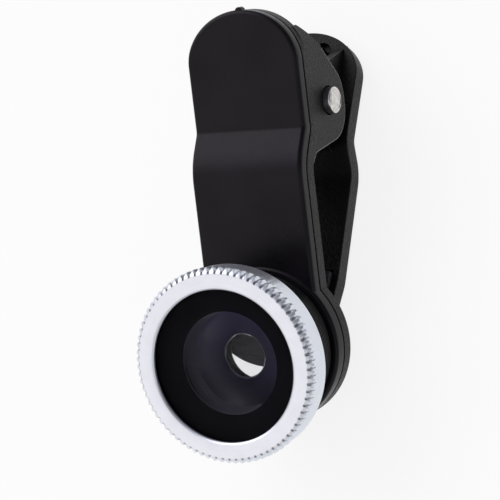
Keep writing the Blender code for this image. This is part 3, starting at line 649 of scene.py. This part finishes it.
COIL_HALF = COIL_PITCH * COIL_SWEEP / (4 * math.pi)
FINE = math.radians(4)

turn_over = Matrix.Rotation(math.pi, 4, "Y") @ Matrix.Rotation(CLOSED_ANGLE, 4, "X")
FRONT = Matrix.Translation(PIVOT) @ LENS.to_3x3().to_4x4() @ Matrix.Scale(MM, 4)
REAR = FRONT @ turn_over


def in_rear_frame(y, depth):
    """A place given along and behind the closed front lever, as the rear lever's Y and Z."""
    cosine = math.cos(CLOSED_ANGLE)
    sine = math.sin(CLOSED_ANGLE)
    return y * cosine - depth * sine, -y * sine - depth * cosine


# The outer face of each lever seen from the side, as corners (Y, Z, fillet)
FRONT_PATH = rounded(
    [
        (HANDLE_LENGTH, HANDLE_DEPTH - HANDLE_CURL),
        (8.5, HANDLE_DEPTH, CURL_RADIUS),
        (-2.5, HANDLE_DEPTH, CREASE_RADIUS),
        (-6.8, ARM_DEPTH, 9.0),
        (-JAW_REACH, ARM_DEPTH),
    ],
    FINE,
)
REAR_PATH = rounded(
    [
        (REAR_HANDLE_LENGTH, REAR_HANDLE_DEPTH - HANDLE_CURL),
        (8.8, REAR_HANDLE_DEPTH, CURL_RADIUS),
        (-2.0, REAR_HANDLE_DEPTH, CREASE_RADIUS),
        (-5.6, 12.7, 6.0),
        (*in_rear_frame(-BEND_DROP, REAR_FOOT_BACK), 5.0),
        in_rear_frame(-JAW_REACH - REAR_TIP_DROP, REAR_FOOT_BACK),
    ],
    FINE,
)


def lengths_along(path):
    lengths = [0.0]
    for one, two in zip(path, path[1:]):
        lengths.append(lengths[-1] + (two - one).length)
    return lengths


def normals(path):
    """Outward normals at the points, stretched at a bend so that an offset keeps the wall's thickness."""
    runs = [(two - one).normalized() for one, two in zip(path, path[1:])]
    runs = [Vector((run.y, -run.x)) for run in runs]
    found = []
    for before, after in zip([runs[0], *runs], [*runs, runs[-1]]):
        mean = (before + after).normalized()
        found.append(mean / mean.dot(after))
    return found


def offset(path, depth):
    return [point - normal * depth for point, normal in zip(path, normals(path))]


def depth_at(path, y):
    for one, two in zip(path, path[1:]):
        if two.x <= y <= one.x:
            return one.y + (two.y - one.y) * (one.x - y) / (one.x - two.x)
    raise ValueError("the path doesn't reach this y")


def half_ellipse(width, rise, level, turn, count=64):
    angles = [math.pi * step / count for step in range(count + 1)]
    return [Vector((width * math.cos(angle), level + turn * rise * math.sin(angle))) for angle in angles]


def slab(outline, low, high, top_edge=0.0, bottom_edge=0.0, segments=3, painted_glint_edge=None):
    """A flat outline extruded from low to high, with its rims rounded, and one of them given a lighter,
    glossier black as a painted highlight.
    """
    curve = bpy.data.curves.new("outline", "CURVE")
    curve.dimensions = "2D"
    curve.fill_mode = "BOTH"
    curve.extrude = (high - low) / 2
    spline = curve.splines.new("POLY")
    spline.points.add(len(outline) - 1)
    spline.use_cyclic_u = True
    for point, (x, y) in zip(spline.points, outline):
        point.co = (x, y, 0, 1)
    guide = bpy.data.objects.new("outline", curve)
    bpy.context.scene.collection.objects.link(guide)
    bpy.context.view_layer.update()
    mesh = bpy.data.meshes.new_from_object(guide.evaluated_get(bpy.context.evaluated_depsgraph_get()))
    bpy.data.objects.remove(guide)
    shape = bmesh.new()
    shape.from_mesh(mesh)
    bmesh.ops.remove_doubles(shape, verts=shape.verts, dist=1e-4)
    bmesh.ops.translate(shape, verts=shape.verts, vec=(0, 0, (low + high) / 2))
    bmesh.ops.dissolve_limit(shape, angle_limit=math.radians(0.5), verts=shape.verts, edges=shape.edges)
    bmesh.ops.recalc_face_normals(shape, faces=shape.faces)
    for level, edge in ((high, top_edge), (low, bottom_edge)):
        if edge:
            rim = [e for e in shape.edges if all(abs(v.co.z - level) < 1e-4 for v in e.verts)]
            rounding = bmesh.ops.bevel(
                shape,
                geom=rim,
                offset=edge,
                segments=segments,
                profile=0.5,
                affect="EDGES",
                clamp_overlap=True,
            )
            # The rounded faces of the chosen rim take the painted highlight
            for face in rounding["faces"]:
                face.material_index = int(painted_glint_edge == level)
    return shape


def bent(outline, path, top, bottom, edge=0.0, back_edge=0.0, segments=5):
    """A plate cut out flat, with y as the length along the path, then folded along the path."""
    shape = slab([(point.x, -point.y) for point in outline], -bottom, -top, edge, back_edge, segments)
    lengths = lengths_along(path)
    for length in lengths[1:-1]:
        geom = shape.verts[:] + shape.edges[:] + shape.faces[:]
        cut = (0, -length, 0)
        bmesh.ops.bisect_plane(shape, geom=geom, dist=1e-5, plane_co=cut, plane_no=(0, 1, 0))
    across = normals(path)
    for vertex in shape.verts:
        length = -vertex.co.y
        depth = -vertex.co.z
        index = max(i for i in range(len(path) - 1) if lengths[i] <= length + 1e-6 or i == 0)
        share = (length - lengths[index]) / (lengths[index + 1] - lengths[index])
        point = path[index].lerp(path[index + 1], share)
        folded = point - across[index].lerp(across[index + 1], share) * depth
        vertex.co = (vertex.co.x, folded.x, folded.y)
    bmesh.ops.recalc_face_normals(shape, faces=shape.faces)
    return shape


def side_plate(outline, low, high, top_edge, bottom_edge):
    """An outline seen from the side, extruded across from low to high, with a painted highlight on its outer
    rim.
    """
    shape = slab(outline, low, high, top_edge, bottom_edge, 3, painted_glint_edge=high if high > 0 else low)
    across = Matrix(((0, 0, 1, 0), (1, 0, 0, 0), (0, 1, 0, 0), (0, 0, 0, 1)))
    bmesh.ops.transform(shape, matrix=across, verts=shape.verts)
    return shape


def ear_outline(path, wall_top, wall_back, nose, heel, brow, heel_radius, slant):
    """One ear seen from the side: round about the pin, and rooted in the middle of the lever's wall."""
    inner = offset(path, wall_back)
    middle = offset(path, (wall_top + wall_back) / 2)
    root = Vector((brow, depth_at(inner, brow)))
    tangent = math.atan2(root.y, root.x) - math.acos(nose / root.length)
    touch = Vector((nose * math.cos(tangent), nose * math.sin(tangent)))
    top = root + (root - touch).normalized() * (wall_back - wall_top) / 2
    bisector = (tangent - math.pi / 2) / 2
    reach = nose / math.cos(bisector + math.pi / 2)
    low = -heel - slant - 1.6 * EAR_ROOT
    corners = [
        (top.x, top.y),
        (reach * math.cos(bisector), reach * math.sin(bisector), nose),
        (-heel, -nose, min(heel_radius, 0.98 * heel)),
        (-heel - slant, depth_at(inner, -heel), EAR_ROOT),
        (low, depth_at(inner, low) + (wall_back - wall_top) / 8),
        (low, depth_at(middle, low)),
    ]
    along = [point for point in reversed(middle) if low < point.x < top.x - EAR_ROOT / 2]
    return [*rounded(corners, FINE), *along]


def pillar(radius, low, high, centre, steps=64):
    shape = bmesh.new()
    where = Matrix.Translation((*centre, (low + high) / 2))
    bmesh.ops.create_cone(
        shape, cap_ends=True, segments=steps, radius1=radius, radius2=radius, depth=high - low, matrix=where
    )
    return shape


def pin_hole():
    shape = pillar(PIN_BORE, -20, 20, (0, 0))
    bmesh.ops.transform(shape, matrix=Matrix.Rotation(math.pi / 2, 4, "Y"), verts=shape.verts)
    return shape


def combined(base, *changes):
    """The base shape after Boolean changes, each an operation and a shape."""

    def held(shape):
        mesh = bpy.data.meshes.new("held")
        mesh.materials.append(grained.material)
        mesh.materials.append(painted_glint.material)
        shape.to_mesh(mesh)
        shape.free()
        made = bpy.data.objects.new("held", mesh)
        bpy.context.scene.collection.objects.link(made)
        return made

    body = held(base)
    others = []
    for operation, shape in changes:
        change = body.modifiers.new("change", "BOOLEAN")
        change.operation = operation
        change.solver = "EXACT"
        change.object = held(shape)
        others.append(change.object)
    bpy.context.view_layer.update()
    mesh = bpy.data.meshes.new_from_object(body.evaluated_get(bpy.context.evaluated_depsgraph_get()))
    for made in (body, *others):
        bpy.data.objects.remove(made)
    shape = bmesh.new()
    shape.from_mesh(mesh)
    # Slivers that the solver leaves, and any hole where one was
    bmesh.ops.dissolve_degenerate(shape, dist=5e-3, edges=shape.edges)
    bmesh.ops.holes_fill(shape, edges=[edge for edge in shape.edges if edge.is_boundary], sides=8)
    return shape


def leg_recess(path, wall_back):
    inner = depth_at(offset(path, wall_back), LEG_REACH)
    return pillar(LEG_RECESS_RADIUS, inner - 1, inner + LEG_RECESS_DEPTH, (-COIL_HALF, LEG_REACH), 48)


def lever_piece(name, shape, where, surface, body, node):
    bmesh.ops.transform(shape, matrix=where, verts=shape.verts)
    piece = finish_mesh(name, shape, (surface, painted_glint), sharp=28)
    even = piece.modifiers.new("even", "WEIGHTED_NORMAL")
    even.keep_sharp = True
    even.weight = 60
    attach(piece, body)
    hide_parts(node)


def front_outline(margin=0.0):
    end = lengths_along(FRONT_PATH)[-1]
    width = HALF_WIDTH - margin
    arch = half_ellipse(width, ARCH_RISE - margin, ARCH_RISE, -1)
    return [*arch, Vector((-width, end)), Vector((width, end))]


def front_cover():
    face = ARM_DEPTH + BOSS_RISE
    back = ARM_DEPTH - COVER_WALL
    boss = rounded(
        [
            (DISC_BORE, back),
            (DISC_BORE, face, 0.15),
            (DISC_RADIUS, face, 0.5),
            (DISC_RADIUS, back, 0.1),
        ]
    )
    middle = offset(FRONT_PATH, COVER_WALL * 0.6)[0]
    nub = pillar(NUB_RADIUS, middle.y - 0.42, middle.y + 0.42, (0, middle.x + NUB_RISE - NUB_RADIUS), 32)
    shape = combined(
        bent(front_outline(), FRONT_PATH, 0, COVER_WALL, COVER_EDGE, 0.08, 6),
        ("UNION", nub),
        ("DIFFERENCE", pillar(PLATE_OPENING, 0, face + 1, (0, -JAW_REACH), 128)),
        ("UNION", spun(boss, steps=192, centre=(0, -JAW_REACH))),
    )
    lever_piece("front_cover_moulding", shape, FRONT, satin, "front_lever", "front_cover")


def front_frame():
    face = ARM_DEPTH - FRAME_TOP
    back = ARM_DEPTH - FRAME_BACK
    disc = rounded(
        [
            (DISC_BORE, back - PROUD, 0.1),
            (DISC_BORE, face + 0.25),
            (DISC_RADIUS - SEAM_REACH, face + 0.25),
            (DISC_RADIUS - SEAM_REACH, face + PROUD),
            (DISC_RADIUS, face + PROUD, 0.1),
            (DISC_RADIUS, back - PROUD, 0.3),
            (9.45, back - PROUD, 0.1),
            (9.45, back + PAD_SEAT),
            (6.95, back + PAD_SEAT),
            (6.95, back - PROUD, 0.1),
        ]
    )
    ear = ear_outline(
        FRONT_PATH, FRAME_TOP, FRAME_BACK, nose=5.0, heel=5.2, brow=11.2, heel_radius=4.6, slant=1.3
    )
    outer = HALF_WIDTH - EAR_INSET
    inner = outer - FRONT_EAR_WALL
    trim = outer + PROUD
    plan = half_ellipse(trim, ARCH_RISE - EAR_INSET, HANDLE_LENGTH - ARCH_RISE, 1)
    plan += [Vector((-trim, -JAW_REACH)), Vector((trim, -JAW_REACH))]
    wings = []
    for low, high, edges in ((inner, outer, (0.24, 0.06)), (-outer, -inner, (0.06, 0.24))):
        wing = combined(side_plate(ear, low, high, *edges), ("INTERSECT", slab(plan, -40, 40)))
        wings.append(("UNION", wing))
    shape = combined(
        bent(front_outline(), FRONT_PATH, FRAME_TOP, FRAME_BACK, 0.08, 0.12, 2),
        ("UNION", bent(front_outline(SEAM_REACH), FRONT_PATH, COVER_WALL + PROUD, FRAME_TOP + 0.4)),
        *wings,
        ("DIFFERENCE", pin_hole()),
        ("DIFFERENCE", leg_recess(FRONT_PATH, FRAME_BACK)),
        ("DIFFERENCE", pillar(PLATE_OPENING, 0, 12, (0, -JAW_REACH), 128)),
        ("UNION", spun(disc, steps=192, centre=(0, -JAW_REACH))),
    )
    lever_piece("front_frame_moulding", shape, FRONT, grained, "front_lever", "front_frame")


def rear_outline(start=0.0, margin=0.0):
    """The rear plate laid flat, or with a start only its jaw from there on, set in by the margin."""
    end = lengths_along(REAR_PATH)[-1]
    rise = REAR_TIP_RISE
    tip = half_ellipse(HALF_WIDTH - margin, rise - margin, end - rise, 1)
    if start:
        width = (HALF_WIDTH - margin) * math.sqrt(1 - ((start - end + rise) / (rise - margin)) ** 2)
        return [Vector((width, start)), *(point for point in tip if point.y > start), Vector((-width, start))]
    return [*half_ellipse(HALF_WIDTH, REAR_ARCH_RISE, REAR_ARCH_RISE, -1), *reversed(tip)]


def rear_lever():
    ear = ear_outline(REAR_PATH, 0, REAR_WALL, nose=3.8, heel=3.9, brow=11.1, heel_radius=3.6, slant=0.2)
    outer = HALF_WIDTH - EAR_INSET - FRONT_EAR_WALL - EAR_GAP
    inner = outer - REAR_EAR_WALL
    start = lengths_along(REAR_PATH)[-1] - REAR_PAD_LENGTH
    pad_outline = rear_outline(start - FIT, REAR_PAD_MARGIN - FIT)
    seat = bent(pad_outline, REAR_PATH, REAR_WALL - PAD_SEAT, REAR_WALL + 1)
    shape = combined(
        bent(rear_outline(), REAR_PATH, 0, REAR_WALL, REAR_EDGE, 0.15, 5),
        ("UNION", side_plate(ear, inner, outer, 0.1, 0.05)),
        ("UNION", side_plate(ear, -outer, -inner, 0.05, 0.1)),
        ("DIFFERENCE", pin_hole()),
        ("DIFFERENCE", leg_recess(REAR_PATH, REAR_WALL)),
        ("DIFFERENCE", seat),
    )
    lever_piece("rear_lever_moulding", shape, REAR, grained, "rear_lever", "rear_lever")


def pivot_pin():
    """The pin: each end is riveted over in a shallow ring, and its side is given dark steel as painted shade.
    """
    end = HALF_WIDTH + PIN_PROUD
    side = end - 0.3
    half = [
        (0, end - 0.05),
        (0.7, end - 0.045),
        (1.22, end - 0.02),
        (1.32, end - 0.05),
        (1.38, end - 0.11),
        (1.46, end - 0.11),
        (1.52, end - 0.04),
        (1.6, end),
        (1.7, end - 0.03),
        (1.8, end - 0.12),
        (PIN_RADIUS, side),
    ]
    shape = spun(half + [(r, -x) for r, x in reversed(half)], closed=False, steps=72)
    # Painted shade: the faces along the pin's side, between its ends, take the dark steel
    for face in shape.faces:
        face.material_index = int(abs(face.calc_center_median().z) < side)
    across = Matrix.Rotation(math.pi / 2, 4, "Y")
    bmesh.ops.transform(shape, matrix=FRONT @ across, verts=shape.verts)
    pin = finish_mesh("pivot_pin_steel", shape, (steel, wire_steel_and_painted_shade))
    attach(pin, "rear_lever")
    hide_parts("pivot_pin")


front_cover()
front_frame()
rear_lever()
pivot_pin()


# Torsion spring: its front leg runs along the front lever into its recess, and its rear leg into the rear
# one's.

WIRE_RADIUS = 0.55
COIL_RADIUS = 2.9


def spring_leg(path, wall_back):
    floor = depth_at(offset(path, wall_back), LEG_REACH) + LEG_RECESS_DEPTH - FIT
    corner = rounded([(LEG_REACH, floor), (LEG_REACH, COIL_RADIUS, 1.0), (0, COIL_RADIUS)], math.radians(10))
    return [Vector((-COIL_HALF, y, depth)) for y, depth in corner]


def torsion_spring():
    front = spring_leg(FRONT_PATH, FRAME_BACK)
    rear = [turn_over @ point for point in spring_leg(REAR_PATH, REAR_WALL)]
    count = math.ceil(COIL_SWEEP / math.radians(9))
    coil = []
    for k in range(1, count):
        share = k / count
        angle = math.pi / 2 + COIL_SWEEP * share
        x = COIL_HALF * (2 * share - 1)
        coil.append(Vector((x, COIL_RADIUS * math.cos(angle), COIL_RADIUS * math.sin(angle))))
    points = [FRONT @ point for point in (*front, *coil, *reversed(rear))]
    curve = bpy.data.curves.new("spring_path", "CURVE")
    curve.dimensions = "3D"
    curve.bevel_depth = WIRE_RADIUS * MM
    curve.bevel_resolution = 4
    curve.use_fill_caps = True
    spline = curve.splines.new("POLY")
    spline.points.add(len(points) - 1)
    for point, position in zip(spline.points, points):
        point.co = (*position, 1)
    guide = bpy.data.objects.new("spring_path", curve)
    bpy.context.scene.collection.objects.link(guide)
    bpy.context.view_layer.update()
    mesh = bpy.data.meshes.new_from_object(guide.evaluated_get(bpy.context.evaluated_depsgraph_get()))
    bpy.data.objects.remove(guide)
    mesh.name = "torsion_spring_wire"
    mesh.materials.clear()
    mesh.materials.append(wire_steel_and_painted_shade.material)
    mesh.shade_smooth()
    made = bpy.data.objects.new("torsion_spring_wire", mesh)
    bpy.context.scene.collection.objects.link(made)
    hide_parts("torsion_spring")
    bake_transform(made)


torsion_spring()


# Floor, world and lamp

FLOOR_GLOW = 0.85  # the share of its own white that the floor shows, so that only a soft shadow is left

floor_surface = Surface("pale_floor", (0.97, 0.97, 0.97), 0.6, Specular_IOR_Level=0.2)
floor_surface.vary_colour(floor_surface.noise(0.05), 0.995, 1.005)
glow = floor_surface.node("ShaderNodeEmission")
glow.inputs["Strength"].default_value = 1.0
seen_by = floor_surface.node("ShaderNodeLightPath")
through = floor_surface.math("ADD", seen_by.outputs["Is Glossy Ray"], seen_by.outputs["Is Transmission Ray"])
views = floor_surface.math("ADD", seen_by.outputs["Is Camera Ray"], through)
share = floor_surface.math("MULTIPLY", floor_surface.math("MINIMUM", views, 1.0), FLOOR_GLOW)
blend = floor_surface.node("ShaderNodeMixShader")
floor_surface.link(share, blend.inputs[0])
floor_surface.link(floor_surface.bsdf.outputs[0], blend.inputs[1])
floor_surface.link(glow.outputs[0], blend.inputs[2])
floor_surface.link(blend.outputs[0], floor_surface.tree.nodes["Material Output"].inputs["Surface"])
shape = bmesh.new()
bmesh.ops.create_grid(shape, x_segments=4, y_segments=4, size=1.5)
floor = finish_mesh("floor", shape, (floor_surface,))

world = bpy.data.worlds.new("studio")
world.use_nodes = True
bpy.context.scene.world = world
background = world.node_tree.nodes["Background"]
background.inputs["Strength"].default_value = 1.0


def world_node(kind, **settings):
    made = world.node_tree.nodes.new(kind)
    for key, value in settings.items():
        setattr(made, key, value)
    return made


def toward(place, start, end):
    """How near the world's direction is to a place in the lens frame: 0 at start, 1 at end, as cosines."""
    where = world_node("ShaderNodeTexCoord")
    dot = world_node("ShaderNodeVectorMath", operation="DOT_PRODUCT")
    world.node_tree.links.new(where.outputs["Generated"], dot.inputs[0])
    dot.inputs[1].default_value = LENS.to_3x3() @ Vector(place).normalized()
    made = world_node("ShaderNodeMapRange", interpolation_type="SMOOTHSTEP")
    made.inputs["From Min"].default_value = start
    made.inputs["From Max"].default_value = end
    world.node_tree.links.new(dot.outputs["Value"], made.inputs["Value"])
    return made.outputs["Result"]


def mixed(share, one, two):
    made = world_node("ShaderNodeMix", data_type="RGBA")
    world.node_tree.links.new(share, made.inputs[0])
    for socket, value in ((made.inputs[6], one), (made.inputs[7], two)):
        if isinstance(value, tuple):
            socket.default_value = (*value, 1)
        else:
            world.node_tree.links.new(value, socket)
    return made.outputs[2]


# A room that is cooler above, warmer below and dim to the right, with a broad bright screen in front of
# the lens
room = mixed(toward((0, 1, 0.4), -0.6, 0.8), (0.44, 0.40, 0.38), (0.46, 0.46, 0.52))
room = mixed(toward((1, 0.45, 0.35), 0.35, 0.95), room, (0.16, 0.16, 0.17))
room = mixed(toward((0.64, -0.32, 0.70), 0.80, 0.96), room, (0.80, 0.80, 0.80))
room = mixed(toward((-0.60, 0.66, 0.46), 0.83, 0.95), room, (2.05, 2.0, 2.1))
screen = mixed(toward((-0.45, -0.34, 0.82), 0.72, 0.96), room, (1.15, 1.10, 1.08))
world.node_tree.links.new(screen, background.inputs["Color"])


def lamp(name, place, size, power):
    """A soft square lamp at a place in the lens frame, in millimetres, aimed at the clip's middle."""
    data = bpy.data.lights.new(name, "AREA")
    data.shape = "RECTANGLE"
    data.size = size[0]
    data.size_y = size[1]
    data.energy = power
    made = bpy.data.objects.new(name, data)
    bpy.context.scene.collection.objects.link(made)
    made.location = LENS @ (Vector(place) * MM)
    centre = LENS @ (Vector((0, 10, -8)) * MM)
    made.rotation_euler = (made.location - centre).to_track_quat("Z", "Y").to_euler()
    return made


lamp("key", (-510, 560, 400), (0.8, 0.8), 1.2)
